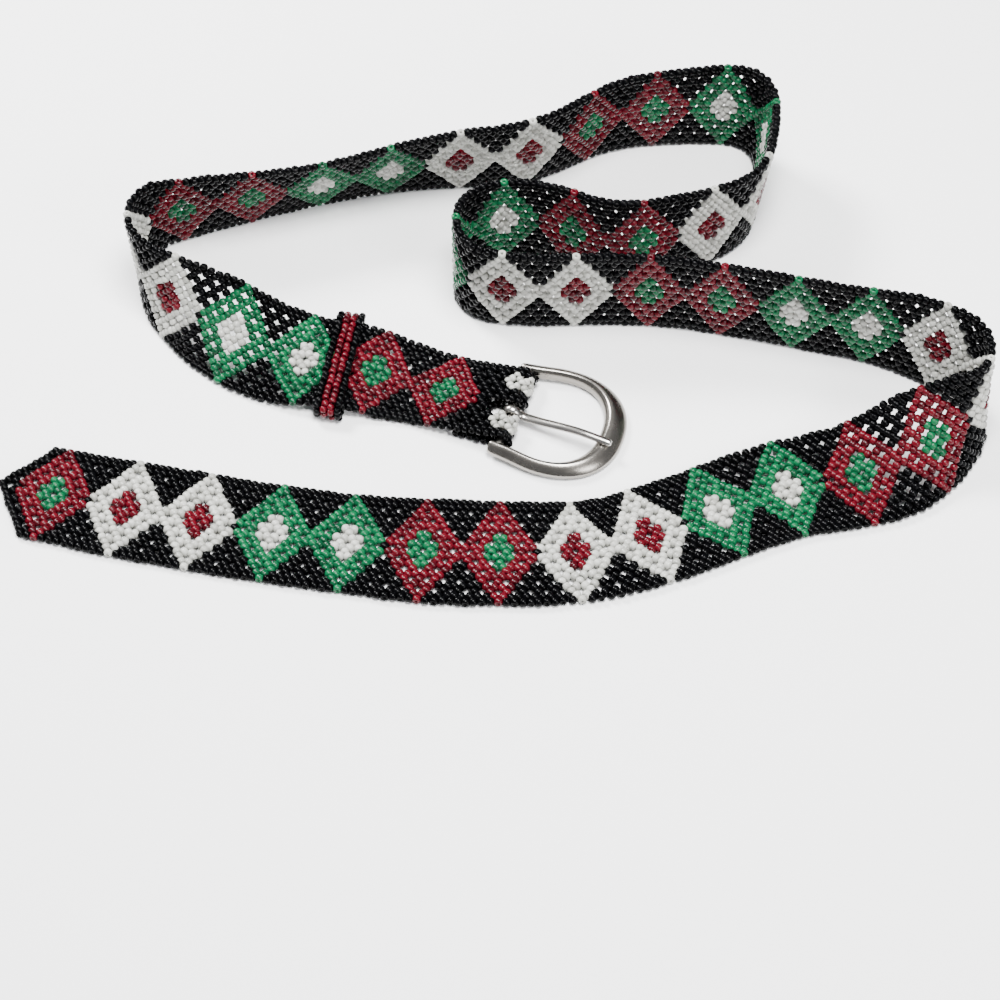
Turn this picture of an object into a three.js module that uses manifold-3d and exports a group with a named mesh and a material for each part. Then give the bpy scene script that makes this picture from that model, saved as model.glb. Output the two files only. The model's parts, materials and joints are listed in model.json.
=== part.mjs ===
// A belt woven as a net of seed beads. It lies in an S on Z = 0, with a horseshoe buckle,
// the tongue that turns on its bar, and a beaded keeper. Millimetres, +Z up.
import * as THREE from "three";
import { mergeVertices } from "three/addons/utils/BufferGeometryUtils.js";
import Module from "manifold-3d";

const wasm = await Module();
wasm.setup();

// The net. Rows of knots run along the belt, and one cell is one mesh of the net.
const beadSize = 2.2;
const wall = 2.4;
const cellLength = 5.2;
const rowSpacing = 3.8;
const rowsEachSide = 5;
const diamonds = 43;
const cellsPerDiamond = 5;
const tipBorderCells = 1;
const heelCells = 2.5;
const tipBluntness = 3;
const edgeBevel = 0.6;
const bandWidth = 2 * rowsEachSide * rowSpacing + beadSize;

// The far end: narrowed, folded round the bar and sewn to itself, with a slot for the tongue.
const heelWidth = 31.6;
const foldBack = 18;
const foldSewn = 4;
const heelRamp = 16;
const slotWidth = 5;
const slotLength = 10;
const slotPastFold = 1;

// The keeper, a woven loop round the band.
const keeperLength = 10;
const keeperWall = 2.3;
const keeperGap = 0.3;
const keeperSlack = 2;
const keeperCorner = 2.2;
const keeperFromBar = 65.5;
const keeperRamp = 18;
const keeperLevel = 1;

// The buckle, measured from the axis of its bar.
const barRadius = 1.5;
const foldGap = 0.3;
const frameSideGap = 0.4;
const barInFrame = 2.3;
const armWidth = 4.8;
const armBulge = 2.4;
const armHeight = 4.4;
const heelReach = 2.5;
const armTip = 1;
const bowStart = 15;
const bowSquareness = 0.88;
const frameReach = 40.3;
const rimWidth = 8.4;
const rimHeight = 5;

// The tongue, a loop round the bar and a prong that rests on the rim. It sits and points a little
// aside of the buckle's middle.
const tongueGap = 0.3;
const tongueWire = 1.8;
const tongueWidth = 3.2;
const tongueTipWidth = 2.6;
const tongueReach = 37.5;
const tongueAside = -2.4;
const tongueTipAside = -5.5;
const tongueTip = 0.8;
const tongueBevel = 0.45;
const restGap = 0.3;

const bandCells = tipBorderCells + diamonds * cellsPerDiamond + heelCells;
const bandLength = bandCells * cellLength;
const pointLength = (rowsEachSide * cellLength) / 2;
const keeperStart = 1 - (keeperFromBar + keeperLength / 2) / bandLength;

// How the belt lies, from its point to the bar. Along is the share of its length, turn the way it
// heads in degrees from +X, and lean how far it is tipped up on edge: 0 lies flat, 90 stands.
// The keeper holds it flat, so the belt has settled where the keeper starts.
const LAY = [
  { along: 0, turn: -15, lean: 0 },
  { along: 0.05, turn: -12, lean: 0 },
  { along: 0.1, turn: -9, lean: 0 },
  { along: 0.14, turn: -3, lean: 0 },
  { along: 0.17, turn: 2, lean: 0 },
  { along: 0.195, turn: 20, lean: 0 },
  { along: 0.225, turn: 24, lean: 0 },
  { along: 0.26, turn: 9, lean: 5 },
  { along: 0.288, turn: 22, lean: 40 },
  { along: 0.303, turn: 36, lean: 71 },
  { along: 0.315, turn: 94, lean: 90 },
  { along: 0.327, turn: 134, lean: 98 },
  { along: 0.343, turn: 157, lean: 94 },
  { along: 0.361, turn: 166, lean: 87 },
  { along: 0.401, turn: 167, lean: 86 },
  { along: 0.451, turn: 182, lean: 86 },
  { along: 0.474, turn: 171, lean: 87 },
  { along: 0.496, turn: 90, lean: 90 },
  { along: 0.519, turn: 8, lean: 90 },
  { along: 0.542, turn: -25, lean: 88 },
  { along: 0.569, turn: 13, lean: 88 },
  { along: 0.591, turn: 25, lean: 92 },
  { along: 0.613, turn: 73, lean: 97 },
  { along: 0.635, turn: 91, lean: 96 },
  { along: 0.658, turn: 180, lean: 90 },
  { along: 0.682, turn: 189, lean: 86 },
  { along: 0.707, turn: 214, lean: 82 },
  { along: 0.742, turn: 185, lean: 77 },
  { along: 0.792, turn: 196, lean: 70 },
  { along: 0.84, turn: 196, lean: 80 },
  { along: 0.863, turn: 274, lean: 94 },
  { along: 0.886, turn: 325, lean: 69 },
  { along: 0.908, turn: 339, lean: 32 },
  { along: keeperStart - 0.012, turn: 348, lean: 8 },
  { along: keeperStart, turn: 351, lean: 0 },
  { along: 0.956, turn: 345, lean: 0 },
  { along: 0.968, turn: 340, lean: 0 },
  { along: 0.98, turn: 338, lean: 0 },
  { along: 0.988, turn: 341.5, lean: 0 },
  { along: 1, turn: 341.5, lean: 0 },
];

// Where the net is pulled wider or narrower than its even width.
const SPREAD = [
  { along: 0, share: 0.95 },
  { along: 0.05, share: 1 },
  { along: 0.1, share: 1 },
  { along: 0.14, share: 1.06 },
  { along: 0.165, share: 1.05 },
  { along: 0.195, share: 1 },
  { along: 0.28, share: 1 },
  { along: 0.303, share: 0.93 },
  { along: 0.33, share: 1 },
  { along: 0.74, share: 1 },
  { along: 0.792, share: 0.9 },
  { along: 0.84, share: 0.97 },
  { along: 0.886, share: 0.87 },
  { along: 0.93, share: 0.97 },
  { along: 0.955, share: 0.93 },
  { along: 0.984, share: heelWidth / bandWidth },
  { along: 1, share: heelWidth / bandWidth },
];

const stepsPerCell = 4;
const stepsPerSection = 3;
const facePoints = 3;
const steps = Math.round(bandCells * stepsPerCell);

const foldInner = barRadius + foldGap;
const foldOuter = foldInner + wall;
const barHeight = foldOuter;

const beadBlack = new THREE.MeshStandardMaterial({ color: 0x0c0c0e, roughness: 0.3 });
const beadRed = new THREE.MeshStandardMaterial({ color: 0x7d1822, roughness: 0.35 });
const nickel = new THREE.MeshStandardMaterial({ color: 0xa39d95, roughness: 0.3, metalness: 1 });
const nickelWire = new THREE.MeshStandardMaterial({ color: 0xb5b0a8, roughness: 0.25, metalness: 1 });

// A smooth curve through one column of a table, with no swing past its rows.
function between(rows, column, along) {
  const step = (i) => rows[i + 1].along - rows[i].along;
  const rise = (i) => (rows[i + 1][column] - rows[i][column]) / step(i);
  const slope = (i) => {
    if (i === 0 || i === rows.length - 1 || rise(i - 1) * rise(i) <= 0) return 0;
    const before = 2 * step(i) + step(i - 1);
    const after = step(i) + 2 * step(i - 1);
    return (before + after) / (before / rise(i - 1) + after / rise(i));
  };
  let i = 0;
  while (i < rows.length - 2 && along > rows[i + 1].along) i += 1;
  const t = (along - rows[i].along) / step(i);
  return (
    rows[i][column] * (2 * t ** 3 - 3 * t ** 2 + 1) +
    step(i) * slope(i) * (t ** 3 - 2 * t ** 2 + t) +
    rows[i + 1][column] * (3 * t ** 2 - 2 * t ** 3) +
    step(i) * slope(i + 1) * (t ** 3 - t ** 2)
  );
}

// How high the band is carried: over the keeper's lower strand, and over its own folded end.
function carried(distance) {
  const fromKeeper = Math.abs(bandLength - keeperFromBar - distance) - keeperLength / 2 - keeperLevel;
  const overKeeper = 1 - THREE.MathUtils.smoothstep(fromKeeper, 0, keeperRamp);
  const foldStart = bandLength - foldBack;
  const overFold = THREE.MathUtils.smoothstep(distance, foldStart - heelRamp, foldStart);
  const slopeToBar = Math.max(0, distance - foldStart) / foldBack;
  return overKeeper * (keeperWall + keeperGap) + overFold * wall + slopeToBar * (barHeight + foldInner - wall);
}

// The belt's middle line, with the way across it and its half width, at every step of its length.
function layBelt() {
  const stations = [];
  let x = 0;
  let y = 0;
  for (let i = 0; i <= steps; i += 1) {
    const along = i / steps;
    if (i > 0) {
      const heading = THREE.MathUtils.degToRad(between(LAY, "turn", (i - 0.5) / steps));
      x += (Math.cos(heading) * bandLength) / steps;
      y += (Math.sin(heading) * bandLength) / steps;
    }
    const turn = THREE.MathUtils.degToRad(between(LAY, "turn", along));
    const lean = THREE.MathUtils.degToRad(between(LAY, "lean", along));
    const full = (bandWidth / 2) * between(SPREAD, "share", along);
    const pointed = tipBluntness / 2 + ((full - tipBluntness / 2) * along * bandLength) / pointLength;
    const lift = full * Math.abs(Math.sin(lean)) + (wall / 2) * Math.abs(Math.cos(lean));
    stations.push({
      turn,
      half: Math.min(full, pointed),
      centre: new THREE.Vector3(x, y, lift + carried(along * bandLength)),
      across: new THREE.Vector3(
        -Math.sin(turn) * Math.cos(lean),
        Math.cos(turn) * Math.cos(lean),
        Math.sin(lean),
      ),
      ahead: new THREE.Vector3(Math.cos(turn), Math.sin(turn), 0),
    });
  }
  return stations;
}

// A closed solid through rings that each hold as many points, with a fan over each end.
function loft(rings) {
  const count = rings[0].length;
  const points = rings.flat();
  const faces = [];
  for (let r = 0; r < rings.length - 1; r += 1) {
    for (let k = 0; k < count; k += 1) {
      const a = r * count + k;
      const b = r * count + ((k + 1) % count);
      faces.push(a, b, b + count, a, b + count, a + count);
    }
  }
  for (const [ring, turned] of [[0, true], [rings.length - 1, false]]) {
    const middle = rings[ring].reduce((sum, p) => sum.add(p), new THREE.Vector3()).divideScalar(count);
    const hub = points.push(middle) - 1;
    for (let k = 0; k < count; k += 1) {
      const a = ring * count + k;
      const b = ring * count + ((k + 1) % count);
      faces.push(...(turned ? [hub, b, a] : [hub, a, b]));
    }
  }
  const geometry = new THREE.BufferGeometry().setFromPoints(points);
  geometry.setIndex(faces);
  return geometry;
}

// A geometry as a solid that can be joined and cut.
function solidOf(geometry) {
  const bare = geometry.clone();
  bare.deleteAttribute("normal");
  bare.deleteAttribute("uv");
  const merged = mergeVertices(bare, 1e-4);
  return new wasm.Manifold(
    new wasm.Mesh({
      numProp: 3,
      vertProperties: new Float32Array(merged.attributes.position.array),
      triVerts: new Uint32Array(merged.index.array),
    }),
  );
}

// A joined or cut solid back as a geometry.
function geometryOf(solid) {
  const mesh = solid.getMesh();
  const geometry = new THREE.BufferGeometry();
  geometry.setAttribute("position", new THREE.BufferAttribute(new Float32Array(mesh.vertProperties), 3));
  geometry.setIndex(new THREE.BufferAttribute(new Uint32Array(mesh.triVerts), 1));
  geometry.computeVertexNormals();
  return geometry;
}

function named(name, geometry, material) {
  const mesh = new THREE.Mesh(geometry, material);
  mesh.name = name;
  return mesh;
}

// The belt's cross-section at one station: a flat strip with bevelled edges.
function bandRing(station) {
  const half = station.half;
  const thick = wall / 2;
  const bevel = Math.min(edgeBevel, half / 2);
  const face = new THREE.Vector3().crossVectors(station.ahead, station.across);
  const flat = half - bevel;
  const corners = [[half, thick - bevel]];
  for (let i = 0; i <= facePoints; i += 1) corners.push([flat - (2 * flat * i) / facePoints, thick]);
  corners.push([-half, thick - bevel], [-half, bevel - thick]);
  for (let i = 0; i <= facePoints; i += 1) corners.push([(2 * flat * i) / facePoints - flat, -thick]);
  corners.push([half, bevel - thick]);
  return corners.map(([out, up]) =>
    station.centre.clone().addScaledVector(station.across, out).addScaledVector(face, up),
  );
}

// The stretch of the band from its point to where it meets its own fold.
function wovenStrip(stations) {
  const pointSteps = Math.round((pointLength / bandLength) * steps);
  const last = steps - Math.floor(((foldBack - foldSewn) / bandLength) * steps);
  const picked = new Set([pointSteps, last]);
  for (let i = 0; i < last; i += stepsPerSection) picked.add(i);
  const order = [...picked].sort((a, b) => a - b);
  return loft(order.map((i) => bandRing(stations[i])));
}

// The folded end, seen from the side: out over the bar, round it and back under.
function foldGeometry() {
  const outline = new THREE.Shape();
  outline.moveTo(-foldBack, 0);
  outline.lineTo(0, 0);
  outline.absarc(0, barHeight, foldOuter, -Math.PI / 2, Math.PI / 2, false);
  outline.lineTo(-foldBack, 2 * wall);
  outline.closePath();
  const sewnFrom = -(foldBack - foldSewn);
  const slope = (barHeight + foldInner - wall) / foldBack;
  const eye = new THREE.Path();
  eye.moveTo(0, barHeight + foldInner);
  eye.absarc(0, barHeight, foldInner, Math.PI / 2, -Math.PI / 2, true);
  eye.lineTo(sewnFrom, wall);
  eye.lineTo(sewnFrom, barHeight + foldInner + slope * sewnFrom);
  eye.closePath();
  outline.holes.push(eye);
  const geometry = new THREE.ExtrudeGeometry(outline, {
    depth: heelWidth,
    bevelEnabled: false,
    curveSegments: 12,
  });
  return geometry.rotateX(Math.PI / 2).translate(0, heelWidth / 2, 0);
}

function makeBand(stations, heelPlace) {
  const slotReach = slotLength + foldOuter + slotPastFold;
  const slot = new THREE.BoxGeometry(slotReach, slotWidth, 4 * foldOuter);
  slot.translate(slotReach / 2 - slotLength, tongueAside, barHeight);
  const woven = solidOf(wovenStrip(stations))
    .add(solidOf(foldGeometry().applyMatrix4(heelPlace)))
    .subtract(solidOf(slot.applyMatrix4(heelPlace)));
  return named("band", geometryOf(woven), beadBlack);
}

// A rounded rectangle about the origin, as a shape or as the hole of one.
function roundedRectangle(path, width, height, corner) {
  const x = width / 2;
  const y = height / 2;
  path.moveTo(x - corner, -y);
  path.absarc(x - corner, corner - y, corner, -Math.PI / 2, 0, false);
  path.absarc(x - corner, y - corner, corner, 0, Math.PI / 2, false);
  path.absarc(corner - x, y - corner, corner, Math.PI / 2, Math.PI, false);
  path.absarc(corner - x, corner - y, corner, Math.PI, 1.5 * Math.PI, false);
  path.closePath();
  return path;
}

function makeKeeper(stations) {
  const station = stations[Math.round((1 - keeperFromBar / bandLength) * steps)];
  const innerWidth = 2 * station.half + 2 * keeperSlack;
  const innerHeight = wall + 2 * keeperGap;
  const outerWidth = innerWidth + 2 * keeperWall;
  const outerHeight = innerHeight + 2 * keeperWall;
  const outline = roundedRectangle(new THREE.Shape(), outerWidth, outerHeight, keeperCorner + keeperWall / 2);
  outline.holes.push(roundedRectangle(new THREE.Path(), innerWidth, innerHeight, innerHeight / 2.5));
  const loop = new THREE.ExtrudeGeometry(outline, {
    depth: keeperLength,
    bevelEnabled: false,
    curveSegments: 5,
  });
  loop.translate(0, 0, -keeperLength / 2).rotateX(Math.PI / 2).rotateZ(Math.PI / 2);
  const keeper = named("keeper", loop, beadRed);
  keeper.position.set(station.centre.x, station.centre.y, outerHeight / 2);
  keeper.rotation.z = station.turn;
  return keeper;
}

// The rim's section, up its inner side, 0, and down its outer side, 1, in shares of width and height.
const RIM_SECTION = [
  { out: 0, up: 0.12 },
  { out: 0, up: 0.6 },
  { out: 0.08, up: 0.8 },
  { out: 0.25, up: 0.97 },
  { out: 0.42, up: 1 },
  { out: 0.62, up: 0.88 },
  { out: 0.85, up: 0.62 },
  { out: 1, up: 0.38 },
  { out: 1, up: 0.12 },
  { out: 0.92, up: 0 },
  { out: 0.08, up: 0 },
];

// One section of the rim between its inner and outer edge, drawn in towards its middle by keep.
function rimRing(inner, outer, height, keep) {
  return RIM_SECTION.map(({ out, up }) => {
    const across = 0.5 + (out - 0.5) * keep;
    const tall = 0.5 + (up - 0.5) * keep;
    return new THREE.Vector3(
      THREE.MathUtils.lerp(inner.x, outer.x, across),
      THREE.MathUtils.lerp(inner.y, outer.y, across),
      tall * height - barInFrame,
    );
  });
}

// The horseshoe, from the end of one arm round its bow to the end of the other.
function rimRings() {
  const armInner = heelWidth / 2 + frameSideGap;
  const bowInner = new THREE.Vector2(frameReach - rimWidth - bowStart, armInner + armBulge);
  const bowOuter = new THREE.Vector2(frameReach - bowStart, armInner + armBulge + armWidth);
  const bowSteps = 28;
  const armSteps = 4;
  const rings = [];
  const arm = (side, share, keep, past) => {
    const x = THREE.MathUtils.lerp(-heelReach, bowStart, share) - past;
    const inner = armInner + armBulge * THREE.MathUtils.smoothstep(share, 0, 1);
    rings.push(
      rimRing(new THREE.Vector2(x, side * inner), new THREE.Vector2(x, side * (inner + armWidth)), armHeight, keep),
    );
  };
  arm(-1, 0, 0.55, armTip);
  arm(-1, 0, 0.85, armTip / 2);
  for (let i = 0; i < armSteps; i += 1) arm(-1, i / armSteps, 1, 0);
  for (let i = 0; i <= bowSteps; i += 1) {
    const angle = Math.PI * (i / bowSteps - 0.5);
    const height = THREE.MathUtils.lerp(armHeight, rimHeight, Math.cos(angle));
    const ahead = Math.abs(Math.cos(angle)) ** bowSquareness;
    const aside = Math.sign(angle) * Math.abs(Math.sin(angle)) ** bowSquareness;
    const at = (size) => new THREE.Vector2(bowStart + size.x * ahead, size.y * aside);
    rings.push(rimRing(at(bowInner), at(bowOuter), height, 1));
  }
  for (let i = armSteps - 1; i >= 0; i -= 1) arm(1, i / armSteps, 1, 0);
  arm(1, 0, 0.85, armTip / 2);
  arm(1, 0, 0.55, armTip);
  return rings;
}

function makeFrame() {
  const barLength = heelWidth + 2 * frameSideGap + armWidth;
  const bar = new THREE.CylinderGeometry(barRadius, barRadius, barLength, 16);
  return named("buckle_frame", geometryOf(solidOf(loft(rimRings())).add(solidOf(bar))), nickel);
}

// The prong's section at one place, a flat strip with bevelled edges standing across its run.
function prongRing(x, aside, z, width, thick) {
  const half = width / 2;
  const tall = thick / 2;
  const bevel = Math.min(tongueBevel, tall * 0.8, half * 0.8);
  const corners = [
    [half, bevel - tall],
    [half, tall - bevel],
    [half - bevel, tall],
    [bevel - half, tall],
    [-half, tall - bevel],
    [-half, bevel - tall],
    [bevel - half, -tall],
    [half - bevel, -tall],
  ];
  return corners.map(([y, up]) => new THREE.Vector3(x, aside + y, z + up));
}

function makeTongue() {
  const eyeRadius = barRadius + tongueGap;
  const loopRadius = eyeRadius + tongueWire;
  const half = tongueWidth / 2;
  const section = [
    new THREE.Vector2(eyeRadius, -half),
    new THREE.Vector2(loopRadius - tongueBevel, -half),
    new THREE.Vector2(loopRadius, tongueBevel - half),
    new THREE.Vector2(loopRadius, half - tongueBevel),
    new THREE.Vector2(loopRadius - tongueBevel, half),
    new THREE.Vector2(eyeRadius, half),
    new THREE.Vector2(eyeRadius, -half),
  ];
  const loop = new THREE.LatheGeometry(section, 24).translate(0, tongueAside, 0);
  const prongSteps = 12;
  const start = eyeRadius + tongueWire / 4;
  const restHeight = rimHeight - barInFrame + restGap + tongueWire / 2;
  const rings = [];
  for (let i = 0; i <= prongSteps; i += 1) {
    const share = i / prongSteps;
    const along = THREE.MathUtils.lerp(start, tongueReach - tongueTip, share);
    const aside = THREE.MathUtils.lerp(tongueAside, tongueTipAside, share);
    const height = restHeight * THREE.MathUtils.smoothstep(share, 0, 0.8);
    const width = THREE.MathUtils.lerp(tongueWidth, tongueTipWidth, share);
    rings.push(prongRing(along, aside, height, width, tongueWire));
  }
  rings.push(prongRing(tongueReach, tongueTipAside, restHeight, tongueTipWidth * 0.6, tongueWire * 0.5));
  const prong = solidOf(loft(rings));
  return named("buckle_tongue", geometryOf(solidOf(loop).add(prong)), nickelWire);
}

// The buckle tips forward about its bar until the bow touches the surface.
function bowDip() {
  const lowReach = frameReach - 0.08 * rimWidth;
  return Math.asin(barHeight / Math.hypot(lowReach, barInFrame)) - Math.atan2(barInFrame, lowReach);
}

function makeBelt() {
  const stations = layBelt();
  const heel = stations[steps];
  const heelPlace = new THREE.Matrix4()
    .makeRotationZ(heel.turn)
    .setPosition(heel.centre.x, heel.centre.y, 0);
  const buckle = new THREE.Group();
  buckle.position.set(heel.centre.x, heel.centre.y, barHeight);
  buckle.rotation.set(0, bowDip(), heel.turn, "ZYX");
  buckle.add(makeFrame(), makeTongue());
  const belt = new THREE.Group();
  belt.add(makeBand(stations, heelPlace), makeKeeper(stations), buckle);
  const box = new THREE.Box3().setFromObject(belt, true);
  const middle = box.getCenter(new THREE.Vector3());
  belt.position.set(-middle.x, -middle.y, -box.min.z);
  const centred = new THREE.Group();
  centred.add(belt);
  return centred;
}

export default makeBelt();
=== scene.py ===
# %% [markdown]
# # A belt of netted glass beads with a horseshoe buckle
#
# The real belt is a net: seed beads strung on thread, with one bead shared by the threads wherever
# they meet. Two things make it look right, how the net lies and how light plays on the beads. So the
# script works out where every bead sits, and lets Geometry Nodes put a bead there.

# %% The frame to build on
import json
import math

import bmesh
import bpy
import numpy as np
from mathutils import Matrix, Vector


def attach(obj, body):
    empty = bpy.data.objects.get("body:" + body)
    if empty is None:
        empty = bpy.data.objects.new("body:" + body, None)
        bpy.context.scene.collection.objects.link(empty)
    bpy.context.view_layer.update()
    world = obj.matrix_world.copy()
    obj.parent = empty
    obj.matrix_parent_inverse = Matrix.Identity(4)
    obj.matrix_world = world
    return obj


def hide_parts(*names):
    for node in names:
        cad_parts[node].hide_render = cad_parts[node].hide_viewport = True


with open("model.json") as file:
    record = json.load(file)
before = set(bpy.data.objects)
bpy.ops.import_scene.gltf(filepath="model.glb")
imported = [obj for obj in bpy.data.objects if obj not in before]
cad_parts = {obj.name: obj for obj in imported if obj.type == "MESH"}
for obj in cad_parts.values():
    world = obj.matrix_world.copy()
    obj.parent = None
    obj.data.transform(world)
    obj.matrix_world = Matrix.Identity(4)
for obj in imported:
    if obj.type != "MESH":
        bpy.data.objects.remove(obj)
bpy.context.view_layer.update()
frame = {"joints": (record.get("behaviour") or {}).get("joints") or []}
bar_place = Vector(frame["joints"][0]["pos_m"])

# %% [markdown]
# ## Camera and light
#
# The photograph was taken from the front, looking down at 54 degrees. A long lens from about a metre
# keeps the far loops nearly as large as the near ones. The camera comes first, so that everything
# after it can be judged through it.

# %% Camera, lights and floor
AIM = Vector((0.00107, -0.06216, 0))
LOOK_DOWN = math.radians(54)
AWAY = 0.957

camera = bpy.data.objects.new("camera", bpy.data.cameras.new("camera"))
camera.data.lens = 100
camera.data.sensor_width = 36
camera.location = AIM + AWAY * Vector((0, -math.cos(LOOK_DOWN), math.sin(LOOK_DOWN)))
camera.rotation_euler = (math.pi / 2 - LOOK_DOWN, 0, 0)
bpy.context.collection.objects.link(camera)
bpy.context.scene.camera = camera


def soft_light(name, place, aim, size, power):
    """A square studio light of that size, pointed at aim."""
    lamp = bpy.data.lights.new(name, "AREA")
    lamp.size = size
    lamp.energy = power
    holder = bpy.data.objects.new(name, lamp)
    holder.location = place
    holder.rotation_euler = (Vector(aim) - Vector(place)).to_track_quat("-Z", "Y").to_euler()
    bpy.context.collection.objects.link(holder)


soft_light("window", (-0.55, 0.55, 0.75), (0, 0, 0), 0.3, 28)
soft_light("overhead", (0.1, -0.1, 1.1), (0, 0, 0), 0.45, 36)
soft_light("fill", (0.7, -0.7, 0.6), (0, 0, 0), 0.4, 9)

world = bpy.data.worlds.new("room")
world.use_nodes = True
world.node_tree.nodes["Background"].inputs["Color"].default_value = (0.93, 0.95, 1, 1)
world.node_tree.nodes["Background"].inputs["Strength"].default_value = 0.4
bpy.context.scene.world = world

floor_mesh = bpy.data.meshes.new("floor")
floor_mesh.from_pydata([(-3, -3, 0), (3, -3, 0), (3, 3, 0), (-3, 3, 0)], [], [(0, 1, 2, 3)])
floor = bpy.data.objects.new("floor", floor_mesh)
bpy.context.collection.objects.link(floor)
paper = bpy.data.materials.new("pale paper")
paper.use_nodes = True
paper.node_tree.nodes["Principled BSDF"].inputs["Base Color"].default_value = (0.93, 0.93, 0.93, 1)
paper.node_tree.nodes["Principled BSDF"].inputs["Roughness"].default_value = 0.9
floor_mesh.materials.append(paper)

# %% [markdown]
# ## Glass and metal
#
# Beads from one batch differ a little in tone, and a cut glass tube is never quite smooth. Both are
# the same for every colour of bead, so they make one node group. It reads the tone that each bead
# carries, and puts out a colour, a roughness and a rippled normal. The colour mixes a painted shaded
# and a painted lit shade of the glass, by that tone and by a fine noise. So it is partly random tone
# and partly painted light, the glass brighter where light would come through it.
#
# Three helpers come first: one opens a group with named sockets, one adds a node with its settings,
# and one makes a material whose shader takes what such a group puts out.


# %% Helpers for node groups and materials
def open_group(name, kind, inputs, outputs):
    """A new node group with its sockets, and its input and output nodes."""
    group = bpy.data.node_groups.new(name, kind)
    for label, socket, value in inputs:
        made = group.interface.new_socket(label, in_out="INPUT", socket_type=socket)
        if value is not None:
            made.default_value = value
    for label, socket in outputs:
        group.interface.new_socket(label, in_out="OUTPUT", socket_type=socket)
    return group, group.nodes.new("NodeGroupInput"), group.nodes.new("NodeGroupOutput")


def add(tree, kind, **settings):
    """A node in a tree, with its settings and its unlinked inputs filled in."""
    node = tree.nodes.new(kind)
    for key, value in settings.items():
        if hasattr(node, key):
            setattr(node, key, value)
        else:
            node.inputs[key.replace("_", " ")].default_value = value
    return node


def material_from(name, look, values):
    """A material and its shader, which takes its colour, roughness and normal from a group."""
    made = bpy.data.materials.new(name)
    made.use_nodes = True
    tree = made.node_tree
    shader = tree.nodes["Principled BSDF"]
    group = add(tree, "ShaderNodeGroup", node_tree=look)
    for label, value in values.items():
        group.inputs[label].default_value = value
    for socket, target in (("Color", "Base Color"), ("Roughness", "Roughness"), ("Normal", "Normal")):
        tree.links.new(group.outputs[socket], shader.inputs[target])
    return made, shader


COLOUR, NUMBER = "NodeSocketColor", "NodeSocketFloat"
SURFACE_OUTPUTS = [("Color", COLOUR), ("Roughness", NUMBER), ("Normal", "NodeSocketVector")]

# %% The bead glass group
glass_tone, ins, outs = open_group(
    "bead glass",
    "ShaderNodeTree",
    [("Shaded Glass", COLOUR, None), ("Bright", COLOUR, None), ("Polish", NUMBER, 0.15), ("Ripple", NUMBER, 0.3)],
    SURFACE_OUTPUTS,
)
place = add(glass_tone, "ShaderNodeTexCoord")
tone = add(glass_tone, "ShaderNodeAttribute", attribute_name="tone")
# A fine noise ripples and roughens the glass, and also mixes painted light into its colour: lit and
# shaded patches within each bead.
painted_glow_and_ripple = add(glass_tone, "ShaderNodeTexNoise", Scale=900.0, Detail=2.0)
tone_and_painted_glow = add(glass_tone, "ShaderNodeMath", operation="MULTIPLY_ADD")
tone_and_painted_glow.inputs[1].default_value = 0.55
mixed = add(glass_tone, "ShaderNodeMix", data_type="RGBA")
rough = add(glass_tone, "ShaderNodeMath", operation="MULTIPLY_ADD")
rough.inputs[1].default_value = 0.12
bump = add(glass_tone, "ShaderNodeBump", Distance=0.0001)
link = glass_tone.links.new
link(place.outputs["Object"], painted_glow_and_ripple.inputs["Vector"])
link(painted_glow_and_ripple.outputs["Fac"], tone_and_painted_glow.inputs[0])
link(tone.outputs["Fac"], tone_and_painted_glow.inputs[2])
link(tone_and_painted_glow.outputs[0], mixed.inputs["Factor"])
link(ins.outputs["Shaded Glass"], mixed.inputs["A"])
link(ins.outputs["Bright"], mixed.inputs["B"])
link(painted_glow_and_ripple.outputs["Fac"], rough.inputs[0])
link(ins.outputs["Polish"], rough.inputs[2])
link(painted_glow_and_ripple.outputs["Fac"], bump.inputs["Height"])
link(ins.outputs["Ripple"], bump.inputs["Strength"])
link(mixed.outputs["Result"], outs.inputs["Color"])
link(rough.outputs[0], outs.inputs["Roughness"])
link(bump.outputs["Normal"], outs.inputs["Normal"])


# %% [markdown]
# ### The four bead colours
#
# The black beads are opaque and the smoothest, and their shine is kept low so that they stay dark in
# the soft light. Red and green are see-through glass that looks deep from the side and bright where
# light comes through, and here two shades of the colour stand for that. The white beads are pearly.


# %% Bead materials
def bead_glass(name, deep, bright, polish, shine):
    """A bead material in painted shaded and lit shades of one colour, with its share of a glass surface's
    shine.
    """
    shades = {"Shaded Glass": (*deep, 1), "Bright": (*bright, 1), "Polish": polish}
    glass, shader = material_from(name, glass_tone, shades)
    shader.inputs["IOR"].default_value = 1.45
    shader.inputs["Specular IOR Level"].default_value = shine
    return glass


# The first shade of each colour is painted shade, the glass as seen from the side, and the second is
# painted light coming through it.
GLASS = {
    "black": bead_glass("black glass", (0.0003, 0.0003, 0.0004), (0.001, 0.001, 0.0013), 0.05, 0.08),
    "red": bead_glass("red glass", (0.012, 0.0005, 0.0015), (0.078, 0.002, 0.0065), 0.08, 0.25),
    "green": bead_glass("green glass", (0.0007, 0.014, 0.006), (0.0035, 0.082, 0.03), 0.08, 0.25),
    "white": bead_glass("pearl glass", (0.2, 0.2, 0.18), (0.4, 0.4, 0.37), 0.12, 0.35),
}

# %% [markdown]
# ### Nickel
#
# The buckle is cast and tumbled smooth, then plated. Handling brightens its edges and leaves fine
# marks on the flats. Edge wear is a group, because frame and tongue share it.

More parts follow.
